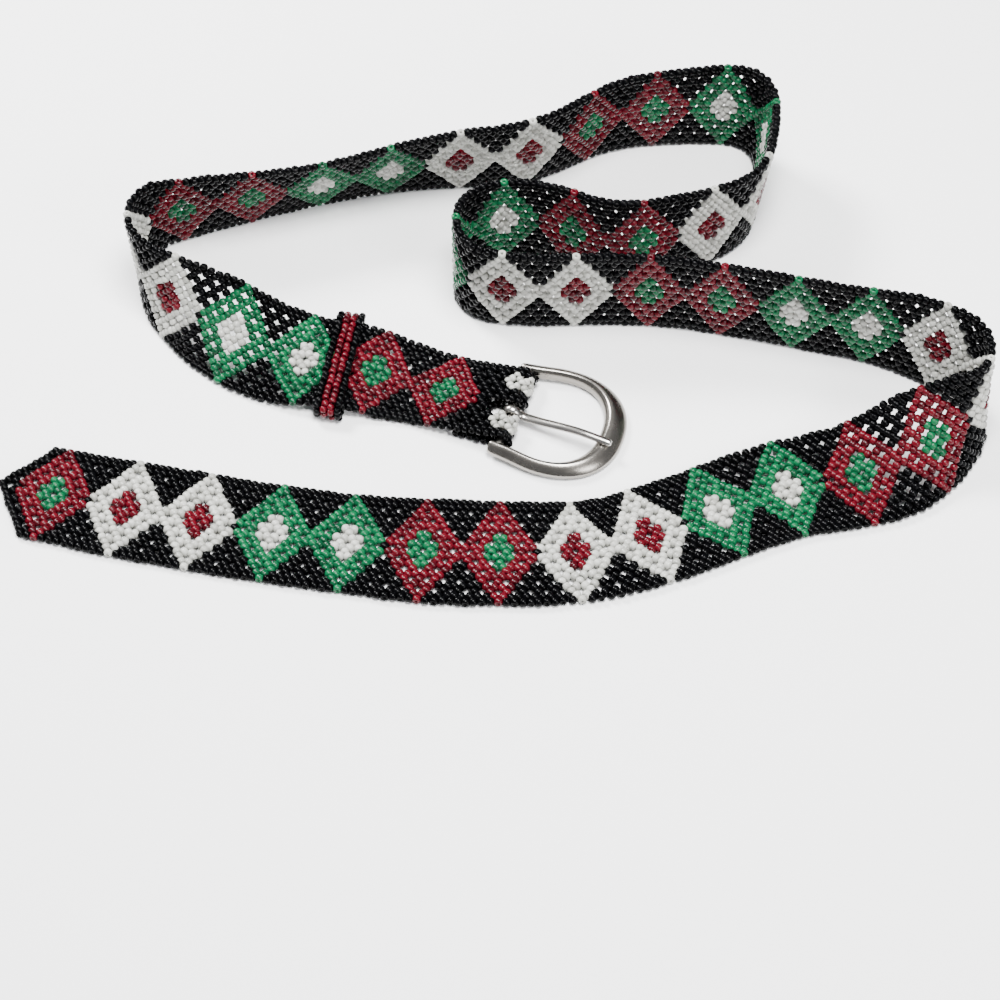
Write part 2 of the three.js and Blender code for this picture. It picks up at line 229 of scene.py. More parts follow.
# %% The worn metal group
worn_metal, ins, outs = open_group(
    "worn metal",
    "ShaderNodeTree",
    [("Flat", COLOUR, None), ("Edge", COLOUR, None), ("Polish", NUMBER, 0.25), ("Marks", NUMBER, 0.3)],
    SURFACE_OUTPUTS,
)
place = add(worn_metal, "ShaderNodeTexCoord")
shape = add(worn_metal, "ShaderNodeNewGeometry")
edge = add(worn_metal, "ShaderNodeMapRange")
edge.inputs["From Min"].default_value = 0.5
edge.inputs["From Max"].default_value = 0.58
cloud = add(worn_metal, "ShaderNodeTexNoise", Scale=160.0, Detail=4.0)
marks = add(worn_metal, "ShaderNodeTexNoise", Scale=2600.0, Detail=2.0)
mixed = add(worn_metal, "ShaderNodeMix", data_type="RGBA")
rough = add(worn_metal, "ShaderNodeMath", operation="MULTIPLY_ADD")
rough.inputs[1].default_value = 0.16
bump = add(worn_metal, "ShaderNodeBump", Distance=0.00005)
link = worn_metal.links.new
link(place.outputs["Object"], cloud.inputs["Vector"])
link(place.outputs["Object"], marks.inputs["Vector"])
link(shape.outputs["Pointiness"], edge.inputs["Value"])
link(edge.outputs["Result"], mixed.inputs["Factor"])
link(ins.outputs["Flat"], mixed.inputs["A"])
link(ins.outputs["Edge"], mixed.inputs["B"])
link(cloud.outputs["Fac"], rough.inputs[0])
link(ins.outputs["Polish"], rough.inputs[2])
link(marks.outputs["Fac"], bump.inputs["Height"])
link(ins.outputs["Marks"], bump.inputs["Strength"])
link(mixed.outputs["Result"], outs.inputs["Color"])
link(rough.outputs[0], outs.inputs["Roughness"])
link(bump.outputs["Normal"], outs.inputs["Normal"])


def nickel(name, flat, edge, polish):
    """A plated metal, darker on its flats than on its edges."""
    shades = {"Flat": (*flat, 1), "Edge": (*edge, 1), "Polish": polish}
    plate, shader = material_from(name, worn_metal, shades)
    shader.inputs["Metallic"].default_value = 1
    return plate


frame_nickel = nickel("frame nickel", (0.2, 0.185, 0.165), (0.5, 0.48, 0.45), 0.18)
tongue_nickel = nickel("tongue nickel", (0.28, 0.265, 0.245), (0.62, 0.6, 0.57), 0.16)

# %% [markdown]
# ## How the belt lies
#
# The net follows one line along the floor. Two short tables describe it, as a tailor might: how the
# belt heads and how far it leans at shares of its length, and where it is pulled wide or narrow. A
# smooth curve through each table fills in the rest, so a change in one row bends the whole belt.

# %% The sizes and tables
# The net, in metres and in cells. The beads are drawn fatter than their pitch, as the real net is full.
CELL = 0.0052
ROW = 0.0038
ROWS_EACH_SIDE = 5
BEAD = 0.0022
BEAD_ACROSS = 0.0032
BEAD_LENGTH = 0.0026
BEAD_REST = BEAD_ACROSS / 2
WALL = 0.0024
DIAMONDS = 43
CELLS_PER_DIAMOND = 5
TIP_CELLS = 1
HEEL_CELLS = 2.5
BAND_WIDTH = 2 * ROWS_EACH_SIDE * ROW + BEAD
BAND_CELLS = TIP_CELLS + DIAMONDS * CELLS_PER_DIAMOND + HEEL_CELLS
BAND_LENGTH = BAND_CELLS * CELL

# The narrowed end that folds round the bar, with the tongue's slot, and the keeper.
HEEL_WIDTH = 0.0316
FOLD_BACK = 0.018
HEEL_RAMP = 0.016
FOLD_INNER = 0.0018
BAR_HEIGHT = FOLD_INNER + WALL
SLOT_WIDTH = 0.005
SLOT_LENGTH = 0.010
TONGUE_ASIDE = -0.0024
KEEPER_LENGTH = 0.010
KEEPER_WALL = 0.0023
KEEPER_GAP = 0.0003
KEEPER_SLACK = 0.002
KEEPER_FROM_BAR = 0.0655
KEEPER_RAMP = 0.018
KEEPER_LEVEL = 0.001
KEEPER_START = 1 - (KEEPER_FROM_BAR + KEEPER_LENGTH / 2) / BAND_LENGTH

# Share of the length, turn in degrees from +X, and lean in degrees, 0 flat and 90 on edge.
LAY = np.array([
    (0, -15, 0), (0.05, -12, 0), (0.1, -9, 0), (0.14, -3, 0), (0.17, 2, 0), (0.195, 20, 0),
    (0.225, 24, 0), (0.26, 9, 5), (0.288, 22, 40), (0.303, 36, 71), (0.315, 94, 90),
    (0.327, 134, 98), (0.343, 157, 94), (0.361, 166, 87), (0.401, 167, 86), (0.451, 182, 86),
    (0.474, 171, 87), (0.496, 90, 90), (0.519, 8, 90), (0.542, -25, 88), (0.569, 13, 88),
    (0.591, 25, 92), (0.613, 73, 97), (0.635, 91, 96), (0.658, 180, 90), (0.682, 189, 86),
    (0.707, 214, 82), (0.742, 185, 77), (0.792, 196, 70), (0.84, 196, 80), (0.863, 274, 94),
    (0.886, 325, 69), (0.908, 339, 32), (KEEPER_START - 0.012, 348, 8), (KEEPER_START, 351, 0),
    (0.956, 345, 0), (0.968, 340, 0), (0.98, 338, 0), (0.988, 341.5, 0), (1, 341.5, 0),
])

# Share of the length, and the width there as a share of the even width.
SPREAD = np.array([
    (0, 0.95), (0.05, 1), (0.1, 1), (0.14, 1.06), (0.165, 1.05), (0.195, 1), (0.28, 1), (0.303, 0.93),
    (0.33, 1), (0.74, 1), (0.792, 0.9), (0.84, 0.97), (0.886, 0.87), (0.93, 0.97), (0.955, 0.93),
    (0.984, HEEL_WIDTH / BAND_WIDTH), (1, HEEL_WIDTH / BAND_WIDTH),
])


# %% The curve through a table, and the belt's line
def between(table, column, along):
    """A smooth curve through one column of a table, with no swing past its rows."""
    x, y = table[:, 0], table[:, column]
    step = np.diff(x)
    rise = np.diff(y) / step
    slope = np.zeros(len(x))
    for i in range(1, len(x) - 1):
        if rise[i - 1] * rise[i] > 0:
            before, after = 2 * step[i] + step[i - 1], step[i] + 2 * step[i - 1]
            slope[i] = (before + after) / (before / rise[i - 1] + after / rise[i])
    i = np.clip(np.searchsorted(x, along) - 1, 0, len(step) - 1)
    t = (along - x[i]) / step[i]
    return (
        y[i] * (2 * t**3 - 3 * t**2 + 1)
        + step[i] * slope[i] * (t**3 - 2 * t**2 + t)
        + y[i + 1] * (3 * t**2 - 2 * t**3)
        + step[i] * slope[i + 1] * (t**3 - t**2)
    )


def eased(value, low, high):
    """0 below low, 1 above high, and a smooth rise between."""
    t = np.clip((value - low) / (high - low), 0, 1)
    return t * t * (3 - 2 * t)


STEPS_PER_CELL = 4
steps = round(BAND_CELLS * STEPS_PER_CELL)
along = np.arange(steps + 1) / steps
distance = along * BAND_LENGTH
turn = np.radians(between(LAY, 1, along))
lean = np.radians(between(LAY, 2, along))
spread = between(SPREAD, 1, along)

# The line is walked step by step, and then set down so that its end meets the bar.
heading = np.radians(between(LAY, 1, (along[1:] + along[:-1]) / 2))
walked = np.stack([np.cos(heading), np.sin(heading)], 1) * BAND_LENGTH / steps
plan = np.vstack([[0, 0], np.cumsum(walked, 0)])
plan += np.array(bar_place[:2]) - plan[-1]

half_width = BAND_WIDTH / 2 * spread
from_keeper = np.abs(BAND_LENGTH - KEEPER_FROM_BAR - distance) - KEEPER_LENGTH / 2 - KEEPER_LEVEL
over_keeper = 1 - eased(from_keeper, 0, KEEPER_RAMP)
fold_start = BAND_LENGTH - FOLD_BACK
over_fold = eased(distance, fold_start - HEEL_RAMP, fold_start)
to_bar = np.maximum(0, distance - fold_start) / FOLD_BACK
carried = over_keeper * (KEEPER_WALL + KEEPER_GAP) + over_fold * WALL
carried += to_bar * (BAR_HEIGHT + FOLD_INNER - WALL)
height = ROWS_EACH_SIDE * ROW * spread * np.abs(np.sin(lean)) + BEAD_REST + carried

middle = np.column_stack([plan, height])
across = np.stack([-np.sin(turn) * np.cos(lean), np.cos(turn) * np.cos(lean), np.sin(lean)], 1)
ahead = np.stack([np.cos(turn), np.sin(turn), 0 * turn], 1)
print("the belt is", round(BAND_LENGTH, 3), "m long and starts at", middle[0].round(4))

# %% [markdown]
# ## The net, bead by bead
#
# Count the net in cells along the belt and rows across it. A knot bead sits at each whole cell on the
# even rows and at each half cell on the odd rows, and a side bead sits halfway between neighbouring
# knots. Those few rules give every bead of the belt, so nothing has to be placed by hand.


# %% Where a place in the net is
def net_place(cell, row):
    """The point of the net at a cell and a row, with the ways ahead and across."""
    past = (cell - BAND_CELLS) * CELL
    if past <= 0:
        i = round(cell * STEPS_PER_CELL)
        forward, left, point = Vector(ahead[i]), Vector(across[i]), Vector(middle[i])
        share = spread[i]
    else:
        forward, left, point, share = *past_the_bar(past), spread[-1]
    return point + left * row * ROW * share, forward, left


def past_the_bar(past):
    """The net's line beyond the top of the bar: round it, and back along the floor."""
    out = Vector(ahead[-1])
    radius = FOLD_INNER + WALL / 2
    angle = min(past / radius, math.pi)
    back = max(0, past - math.pi * radius)
    up = Vector((0, 0, 1))
    point = bar_place + radius * (math.sin(angle) * out + math.cos(angle) * up) - back * out
    point.z = max(point.z, BEAD_REST)
    forward = math.cos(angle) * out - math.sin(angle) * up
    return forward, Vector(across[-1]), point


# %% [markdown]
# ### The pattern
#
# The pattern is a traditional row of diamonds: one red at the point, then pairs in white, green and
# red. Each diamond is five cells long and ten rows high, with a motif in the next colour round its
# middle mesh. A bead belongs to a diamond when its steps along and across add up to less than one.

# %% Colour of a bead
PAIR_ORDER = ("white", "green", "red")
MOTIF = {"red": "green", "white": "red", "green": "white"}
MOTIF_SPOTS = {(0.5, 0), (0, 1), (0.25, 0.5), (0.75, 0.5), (0.25, 1.5)}
FLOWERS = [(BAND_CELLS + past, row) for past in (-0.5, 0.5) for row in (-3, 3)]
PETALS = {(0.5, 0), (0, 1), (0.25, 0.5)}
A_TOUCH = 0.001


def bead_colour(cell, row):
    """The colour of the bead at a place in the net."""
    for flower_cell, flower_row in FLOWERS:
        if (abs(cell - flower_cell), abs(row - flower_row)) in PETALS:
            return "white"
    into_pattern = (cell - TIP_CELLS) / CELLS_PER_DIAMOND
    for diamond in (math.floor(into_pattern), math.ceil(into_pattern) - 1):
        from_middle = abs(cell - TIP_CELLS - (diamond + 0.5) * CELLS_PER_DIAMOND)
        inside = from_middle / (CELLS_PER_DIAMOND / 2) + abs(row) / ROWS_EACH_SIDE < 1 + A_TOUCH
        at_corner = from_middle > CELLS_PER_DIAMOND / 2 - A_TOUCH
        if not 0 <= diamond < DIAMONDS or not inside or at_corner and not shared_corner(cell):
            continue
        colour = "red" if diamond == 0 else PAIR_ORDER[(diamond - 1) // 2 % len(PAIR_ORDER)]
        return MOTIF[colour] if (from_middle, abs(row)) in MOTIF_SPOTS else colour
    return "black"


def shared_corner(cell):
    """True where the two diamonds of a pair meet."""
    return round((cell - TIP_CELLS) / CELLS_PER_DIAMOND) % 2 == 0 and cell > TIP_CELLS


# %% [markdown]
# ### Stringing the net
#
# Each knot is pulled a little off its place, because a net tied by hand is never even. Its sides then
# sit halfway between the knots they join, so they follow the pull. The band goes on round the bar and
# back under itself, and the tongue's slot is left free of beads.

# %% The knots
PULL = 0.0003
pull = np.random.default_rng(11)
fold_cells = (math.pi * (FOLD_INNER + WALL / 2) + FOLD_BACK) / CELL
last_cell = BAND_CELLS + fold_cells
knots = {}
for half_cell in range(int(2 * last_cell) + 1):
    cell = half_cell / 2
    for row in range(-ROWS_EACH_SIDE, ROWS_EACH_SIDE + 1):
        on_net = (half_cell + row) % 2 == 0
        inside_point = cell >= abs(row) / 2
        if on_net and inside_point:
            point, forward, left = net_place(cell, row)
            give = pull.uniform(-PULL, PULL, 2) if cell < BAND_CELLS - HEEL_CELLS else (0, 0)
            knots[cell, row] = (point + forward * give[0] + left * give[1], left)
print("the net has", len(knots), "knots and ends", round(fold_cells, 1), "cells past the top of the bar")


# %% The beads between the knots
def bead_between(one, other):
    """The place halfway between two knots, and the way the thread runs there."""
    return (one + other) / 2, (other - one).normalized()


sides = {}
for (cell, row), (point, left) in knots.items():
    for step_row in (-1, 1):
        other = knots.get((cell + 0.5, row + step_row))
        if other:
            sides[cell + 0.25, row + step_row / 2] = bead_between(point, other[0])

# One more bead joins each knot of the edge rows to the next, which gives the belt its even rim.
rims = {}
for (cell, row), (point, left) in knots.items():
    following = knots.get((cell + 1, row))
    if abs(row) == ROWS_EACH_SIDE and following:
        rims[cell + 0.5, row] = bead_between(point, following[0])

# %% Which beads stay, and how large they are
SLOT_CELLS_PAST_BAR = 3.5
SLOT_HALF = SLOT_WIDTH / 2 + BEAD * 0.35
LEAST_GIRTH = 0.3


def in_slot(cell, row):
    """True for beads that the tongue's slot leaves out."""
    before_bar = (BAND_CELLS - cell) * CELL
    near_bar = before_bar < SLOT_LENGTH and cell < BAND_CELLS + SLOT_CELLS_PAST_BAR
    return near_bar and abs(row * ROW * spread[-1] - TONGUE_ASIDE) < SLOT_HALF


def girth_at(cell):
    """How large the beads are there: smaller where the net is drawn in, as round the bar."""
    drawn_in = float(np.interp(cell / BAND_CELLS, along, spread))
    return min(1, LEAST_GIRTH + (1 - LEAST_GIRTH) * drawn_in)


beads = []
for (cell, row), (point, thread_way) in (*knots.items(), *sides.items(), *rims.items()):
    if not in_slot(cell, row):
        beads.append((cell, row, point, thread_way))
print(len(knots), "knots,", len(sides), "sides and", len(rims), "rim beads, in all", len(beads), "beads")

# %% [markdown]
# ### The bead tree
#
# A seed bead is a short slice of glass tube with its rims melted round. In the tree, a six-sided
# profile swept round a ring of eight makes that shape with 48 faces, few enough to repeat by the
# thousand. Each bead turns its hole along its thread, and a fixed seed gives it a little tilt, size
# and tone of its own.

# %% The tree that strings beads on points
GEOMETRY, WHOLE, MATERIAL = "NodeSocketGeometry", "NodeSocketInt", "NodeSocketMaterial"
string_beads, ins, outs = open_group(
    "string beads",
    "GeometryNodeTree",
    [
        ("Places", GEOMETRY, None),
        ("Diameter", NUMBER, BEAD),
        ("Length", NUMBER, BEAD),
        ("Hole", NUMBER, 0.0008),
        ("Uneven Size", NUMBER, 0.05),
        ("Tilt", NUMBER, 0.12),
        ("Shift", NUMBER, 0.00012),
        ("Seed", WHOLE, 1),
        ("Glass", MATERIAL, None),
    ],
    [("Beads", GEOMETRY)],
)
link = string_beads.links.new


def fed(node, values):
    """A node's first output, once its inputs hold these sockets or plain numbers."""
    for socket, value in zip(node.inputs, values):
        if isinstance(value, bpy.types.NodeSocket):
            link(value, socket)
        else:
            socket.default_value = value
    return node.outputs[0]


def number(operation, *values):
    """The result of a maths node."""
    return fed(add(string_beads, "ShaderNodeMath", operation=operation), values)


def triple(x, y, z):
    """A vector from three sockets or numbers."""
    return fed(add(string_beads, "ShaderNodeCombineXYZ"), (x, y, z))


# %% The shape of one bead, a profile swept round a ring
# The ring runs through the middle of the wall. The profile is a little wider than the wall, because
# the flat sides of a six-sided ring fall short of its circle.
ring = add(string_beads, "GeometryNodeCurvePrimitiveCircle", Resolution=8)
across_and_hole = number("ADD", ins.outputs["Diameter"], ins.outputs["Hole"])
link(number("MULTIPLY", across_and_hole, 0.25), ring.inputs["Radius"])
profile = add(string_beads, "GeometryNodeCurvePrimitiveCircle", Resolution=6, Radius=1.0)
level = add(string_beads, "GeometryNodeTransform")
level.inputs["Rotation"].default_value = (0, 0, math.pi / 6)
sized = add(string_beads, "GeometryNodeTransform")
wall_half = number("MULTIPLY", number("SUBTRACT", ins.outputs["Diameter"], ins.outputs["Hole"]), 0.29)
link(profile.outputs["Curve"], level.inputs["Geometry"])
link(level.outputs["Geometry"], sized.inputs["Geometry"])
link(triple(wall_half, number("MULTIPLY", ins.outputs["Length"], 0.5), 1.0), sized.inputs["Scale"])
swept = add(string_beads, "GeometryNodeCurveToMesh")
link(ring.outputs["Curve"], swept.inputs["Curve"])
link(sized.outputs["Geometry"], swept.inputs["Profile Curve"])
smooth = add(string_beads, "GeometryNodeSetShadeSmooth")
link(swept.outputs["Mesh"], smooth.inputs["Geometry"])

# %% [markdown]
# Next, what each bead has of its own. A random node gives its shift, another its tilt, a third its
# size and a fourth its tone, each with a seed of its own. The girth that its point brings along is
# multiplied into the size.

# %% What differs from bead to bead
shift = add(string_beads, "FunctionNodeRandomValue", data_type="FLOAT_VECTOR")
push = number("MULTIPLY", ins.outputs["Shift"], -1.0)
link(triple(push, push, push), shift.inputs[0])
link(triple(*[ins.outputs["Shift"]] * 3), shift.inputs[1])
moved = add(string_beads, "GeometryNodeSetPosition")
thread_way = add(string_beads, "GeometryNodeInputNamedAttribute", data_type="FLOAT_VECTOR", Name="thread")
facing = add(string_beads, "FunctionNodeAlignEulerToVector", axis="Z")
lean_a_little = add(string_beads, "FunctionNodeRandomValue", data_type="FLOAT_VECTOR")
back_tilt = number("MULTIPLY", ins.outputs["Tilt"], -1.0)
link(triple(back_tilt, back_tilt, back_tilt), lean_a_little.inputs[0])
link(triple(*[ins.outputs["Tilt"]] * 3), lean_a_little.inputs[1])
turned = add(string_beads, "FunctionNodeRotateEuler")
size = add(string_beads, "FunctionNodeRandomValue", data_type="FLOAT")
link(number("SUBTRACT", 1.0, ins.outputs["Uneven Size"]), size.inputs[2])
link(number("ADD", 1.0, ins.outputs["Uneven Size"]), size.inputs[3])
girth = add(string_beads, "GeometryNodeInputNamedAttribute", data_type="FLOAT", Name="girth")
shade = add(string_beads, "FunctionNodeRandomValue", data_type="FLOAT")
keep_shade = add(string_beads, "GeometryNodeStoreNamedAttribute", data_type="FLOAT", Name="tone")
place_beads = add(string_beads, "GeometryNodeInstanceOnPoints")
SEED_STEP = 17.0
for offset, node in enumerate((shift, lean_a_little, size, shade)):
    link(number("ADD", ins.outputs["Seed"], offset * SEED_STEP), node.inputs["Seed"])

# %% Beads on the points
link(ins.outputs["Places"], moved.inputs["Geometry"])
link(shift.outputs[0], moved.inputs["Offset"])
link(moved.outputs["Geometry"], keep_shade.inputs["Geometry"])
link(shade.outputs[1], keep_shade.inputs["Value"])
link(thread_way.outputs[0], facing.inputs["Vector"])
link(facing.outputs["Rotation"], turned.inputs["Rotation"])
link(lean_a_little.outputs[0], turned.inputs["Rotate By"])
link(keep_shade.outputs["Geometry"], place_beads.inputs["Points"])
link(smooth.outputs["Geometry"], place_beads.inputs["Instance"])
link(turned.outputs["Rotation"], place_beads.inputs["Rotation"])
link(number("MULTIPLY", size.outputs[1], girth.outputs[0]), place_beads.inputs["Scale"])
real = add(string_beads, "GeometryNodeRealizeInstances")
glazed = add(string_beads, "GeometryNodeSetMaterial")
link(place_beads.outputs["Instances"], real.inputs["Geometry"])
link(real.outputs["Geometry"], glazed.inputs["Geometry"])
link(ins.outputs["Glass"], glazed.inputs["Material"])
link(glazed.outputs["Geometry"], outs.inputs["Beads"])


# %% [markdown]
# ### From points to pieces
#
# A modifier's inputs go by hidden identifiers, so a helper looks them up by name. It hands back a
# plain mesh, because a piece that rides on the frame should hold its own faces.


# %% Growing a piece with a tree
def grown(name, seed_mesh, tree, settings):
    """A plain mesh object made by running a tree over a mesh of points or edges."""
    carrier = bpy.data.objects.new(name + "_carrier", seed_mesh)
    bpy.context.collection.objects.link(carrier)
    modifier = carrier.modifiers.new("grow", "NODES")
    modifier.node_group = tree
    for socket in tree.interface.items_tree:
        if socket.in_out == "INPUT" and socket.name in settings:
            modifier[socket.identifier] = settings[socket.name]
    ready = carrier.evaluated_get(bpy.context.evaluated_depsgraph_get())
    mesh = bpy.data.meshes.new_from_object(ready)
    mesh.name = name
    bpy.data.objects.remove(carrier)
    piece = bpy.data.objects.new(name, mesh)
    bpy.context.collection.objects.link(piece)
    print(name, "has", sum(len(p.vertices) - 2 for p in mesh.polygons), "triangles")
    return piece


def points_mesh(name, places, threads, girths):
    """A mesh of loose points, each with the way its thread runs and the size of its bead."""
    mesh = bpy.data.meshes.new(name)
    mesh.from_pydata([tuple(p) for p in places], [], [])
    ways = mesh.attributes.new("thread", "FLOAT_VECTOR", "POINT")
    ways.data.foreach_set("vector", np.array([tuple(t) for t in threads], np.float32).ravel())
    sizes_there = mesh.attributes.new("girth", "FLOAT", "POINT")
    sizes_there.data.foreach_set("value", np.array(girths, np.float32))
    return mesh


# %% Beads of the band, by colour and by half of the belt
for colour, glass in GLASS.items():
    chosen = [b for b in beads if bead_colour(b[0], b[1]) == colour]
    chosen.sort(key=lambda b: b[0])
    stretches = 2 if colour == "black" else 1
    for part in range(stretches):
        some = chosen[part * len(chosen) // stretches:(part + 1) * len(chosen) // stretches]
        name = f"band_{colour}_beads" + (f"_{part + 1}" if stretches > 1 else "")
        girths = [girth_at(b[0]) for b in some]
        seed_mesh = points_mesh(name + "_places", [b[2] for b in some], [b[3] for b in some], girths)
        settings = {"Diameter": BEAD_ACROSS, "Length": BEAD_LENGTH, "Seed": 7 + part, "Glass": glass}
        piece = grown(name, seed_mesh, string_beads, settings)
        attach(piece, "belt")
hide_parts("band")

# %% [markdown]
# ## The keeper
#
# The keeper is a separate loop of beads round the band, black with a red stripe. Its beads sit in
# rings round the band, like bricks, so each ring is set half a bead further on than the last.

# %% Keeper beads
KEEPER_COLOURS = ("black", "red", "red", "black")
KEEPER_PITCH = BEAD * 1.06
KEEPER_BEAD_ACROSS = BEAD * 1.14
KEEPER_BEAD_LENGTH = BEAD * 1.04
CORNER_SHARE = 0.42
station = round((1 - KEEPER_FROM_BAR / BAND_LENGTH) * steps)
loop_width = 2 * half_width[station] + 2 * KEEPER_SLACK + KEEPER_WALL
loop_height = WALL + 2 * KEEPER_GAP + KEEPER_WALL
corner = loop_height * CORNER_SHARE


def round_loop(width, height, corner, share):
    """The point at a share of the way round a rounded rectangle, and the way it runs there."""
    straight, upright, arc = width - 2 * corner, height - 2 * corner, math.pi / 2 * corner
    place = share % 1 * (2 * straight + 2 * upright + 4 * arc)
    heading_now, here = 0.0, Vector((-straight / 2, -height / 2))
    for length, bend in ((straight, 0), (arc, 1), (upright, 0), (arc, 1)) * 2:
        way = Vector((math.cos(heading_now), math.sin(heading_now)))
        normal = Vector((-way.y, way.x))
        if place <= length:
            if not bend:
                return here + way * place, way
            angle = place / corner
            turned_way = way * math.cos(angle) + normal * math.sin(angle)
            in_corner = way * corner * math.sin(angle) + normal * corner * (1 - math.cos(angle))
            return here + in_corner, turned_way
        place -= length
        here = here + way * length if not bend else here + way * corner + normal * corner
        heading_now += math.pi / 2 * bend
    return here, way


loop_run = 2 * (loop_width - 2 * corner) + 2 * (loop_height - 2 * corner) + 2 * math.pi * corner
beads_round = round(loop_run / KEEPER_PITCH)
keeper_middle = Vector((*plan[station], loop_height / 2 + KEEPER_WALL / 2))
lane_pitch = KEEPER_LENGTH / len(KEEPER_COLOURS)
left = Vector((-math.sin(turn[station]), math.cos(turn[station]), 0))
keeper_beads = {"black": [], "red": []}
for lane, colour in enumerate(KEEPER_COLOURS):
    out = Vector(ahead[station]) * (lane - (len(KEEPER_COLOURS) - 1) / 2) * lane_pitch
    for i in range(beads_round):
        spot, way = round_loop(loop_width, loop_height, corner, (i + 0.5 * (lane % 2)) / beads_round)
        point = keeper_middle + out + left * spot.x + Vector((0, 0, spot.y))
        keeper_beads[colour].append((point, left * way.x + Vector((0, 0, way.y))))
print("the keeper has", beads_round, "beads in each of", len(KEEPER_COLOURS), "rings")

# %% The keeper's pieces
for colour, spots in keeper_beads.items():
    even = [1] * len(spots)
    seed_mesh = points_mesh(f"keeper_{colour}_places", [s[0] for s in spots], [s[1] for s in spots], even)
    settings = {
        "Diameter": KEEPER_BEAD_ACROSS,
        "Length": KEEPER_BEAD_LENGTH,
        "Uneven Size": 0.09,
        "Tilt": 0.3,
        "Shift": 0.00025,
        "Seed": 40,
        "Glass": GLASS[colour],
    }
    piece = grown(f"keeper_{colour}_beads", seed_mesh, string_beads, settings)
    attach(piece, "belt")
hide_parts("keeper")

# %% [markdown]
# ## The thread
#
# Between the beads the thread shows as thin dark lines, wherever the net is pulled open. The knots
# and their sides are already known, so the thread is that same net as edges, swept with a fine
# profile.

# %% The tree that runs thread along edges
run_thread, ins, outs = open_group(
    "run thread",
    "GeometryNodeTree",
    [
        ("Net", GEOMETRY, None),
        ("Thickness", NUMBER, 0.0004),
        ("Sides", WHOLE, 4),
        ("Thread", MATERIAL, None),
    ],
    [("Thread", GEOMETRY)],
)
link = run_thread.links.new
line = add(run_thread, "GeometryNodeMeshToCurve")
round_profile = add(run_thread, "GeometryNodeCurvePrimitiveCircle")
halved = add(run_thread, "ShaderNodeMath", operation="MULTIPLY")
halved.inputs[1].default_value = 0.5
sweep = add(run_thread, "GeometryNodeCurveToMesh", Fill_Caps=True)
covered = add(run_thread, "GeometryNodeSetMaterial")
joined = add(run_thread, "GeometryNodeRealizeInstances")
link(ins.outputs["Net"], line.inputs["Mesh"])
link(ins.outputs["Thickness"], halved.inputs[0])
link(halved.outputs[0], round_profile.inputs["Radius"])
link(ins.outputs["Sides"], round_profile.inputs["Resolution"])
link(line.outputs["Curve"], sweep.inputs["Curve"])
link(round_profile.outputs["Curve"], sweep.inputs["Profile Curve"])
link(sweep.outputs["Mesh"], joined.inputs["Geometry"])
link(joined.outputs["Geometry"], covered.inputs["Geometry"])
link(ins.outputs["Thread"], covered.inputs["Material"])
link(covered.outputs["Geometry"], outs.inputs["Thread"])

# %% The look of waxed thread
waxed =bpy.data.materials.new("waxed thread")
waxed.use_nodes = True
shader = waxed.node_tree.nodes["Principled BSDF"]
fuzz = add(waxed.node_tree, "ShaderNodeTexNoise", Scale=4000.0)
spot = add(waxed.node_tree, "ShaderNodeTexCoord")
fibre = add(waxed.node_tree, "ShaderNodeValToRGB")
fibre.color_ramp.elements[0].color = (0.012, 0.012, 0.013, 1)
fibre.color_ramp.elements[1].color = (0.05, 0.048, 0.046, 1)
waxed.node_tree.links.new(spot.outputs["Object"], fuzz.inputs["Vector"])
waxed.node_tree.links.new(fuzz.outputs["Fac"], fibre.inputs["Fac"])
waxed.node_tree.links.new(fibre.outputs["Color"], shader.inputs["Base Color"])
shader.inputs["Roughness"].default_value = 0.6

# %% The thread of the band, from knot to knot
THREAD_THICKNESS = 0.0005
THREAD_SIDES = 4
order = {key: i for i, key in enumerate(knots)}
edges = []
for cell, row in sides:
    for slope in (-1, 1):
        ends = ((cell - 0.25, row - slope * 0.5), (cell + 0.25, row + slope * 0.5))
        if all(end in order for end in ends) and not in_slot(cell, row):
            edges.append((order[ends[0]], order[ends[1]]))
net_mesh = bpy.data.meshes.new("net_edges")
net_mesh.from_pydata([tuple(k[0]) for k in knots.values()], edges, [])
settings = {"Thickness": THREAD_THICKNESS, "Sides": THREAD_SIDES, "Thread": waxed}
thread = grown("band_thread", net_mesh, run_thread, settings)
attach(thread, "belt")

# %% [markdown]
# ## The buckle
#
# The frame is one casting: slim arms with a ridge along them, and a bow that is wide and domed. A
# section drawn once, in shares of width and height, is carried round the horseshoe and scaled on the
# way. Subdivision rounds it, and creases hold the ridge lines.

# %% The horseshoe's sizes, from the axis of its bar
BAR_RADIUS = 0.0015
FRAME_SIDE_GAP = 0.0004
BAR_IN_FRAME = 0.0023
ARM_WIDTH = 0.0048
ARM_BULGE = 0.0024
ARM_HEIGHT = 0.0044
HEEL_REACH = 0.0025
BOW_START = 0.015
BOW_SQUARENESS = 0.88
FRAME_REACH = 0.0403
RIM_WIDTH = 0.0084
RIM_HEIGHT = 0.005

# The frame tips about its bar until the underside of the bow, close to its outer edge, is on the floor.
LOW_EDGE_SHARE = 0.08
low_reach = FRAME_REACH - LOW_EDGE_SHARE * RIM_WIDTH
dip = math.asin(BAR_HEIGHT / math.hypot(low_reach, BAR_IN_FRAME)) - math.atan2(BAR_IN_FRAME, low_reach)
to_buckle = (
    Matrix.Translation(bar_place) @ Matrix.Rotation(turn[-1], 4, "Z") @ Matrix.Rotation(dip, 4, "Y")
)

# Share across from the inner side, share up, and how sharp the edge along it is.
RIM_SECTION = (
    (0.06, 0, 0.3), (0, 0.1, 0.2), (0, 0.56, 0.4), (0.07, 0.78, 0.4), (0.24, 0.98, 0.6), (0.4, 1.02, 0.3),
    (0.62, 0.9, 0.1), (0.84, 0.66, 0.4), (1, 0.4, 0.3), (1, 0.12, 0.2), (0.94, 0, 0.3), (0.5, 0, 0),
)


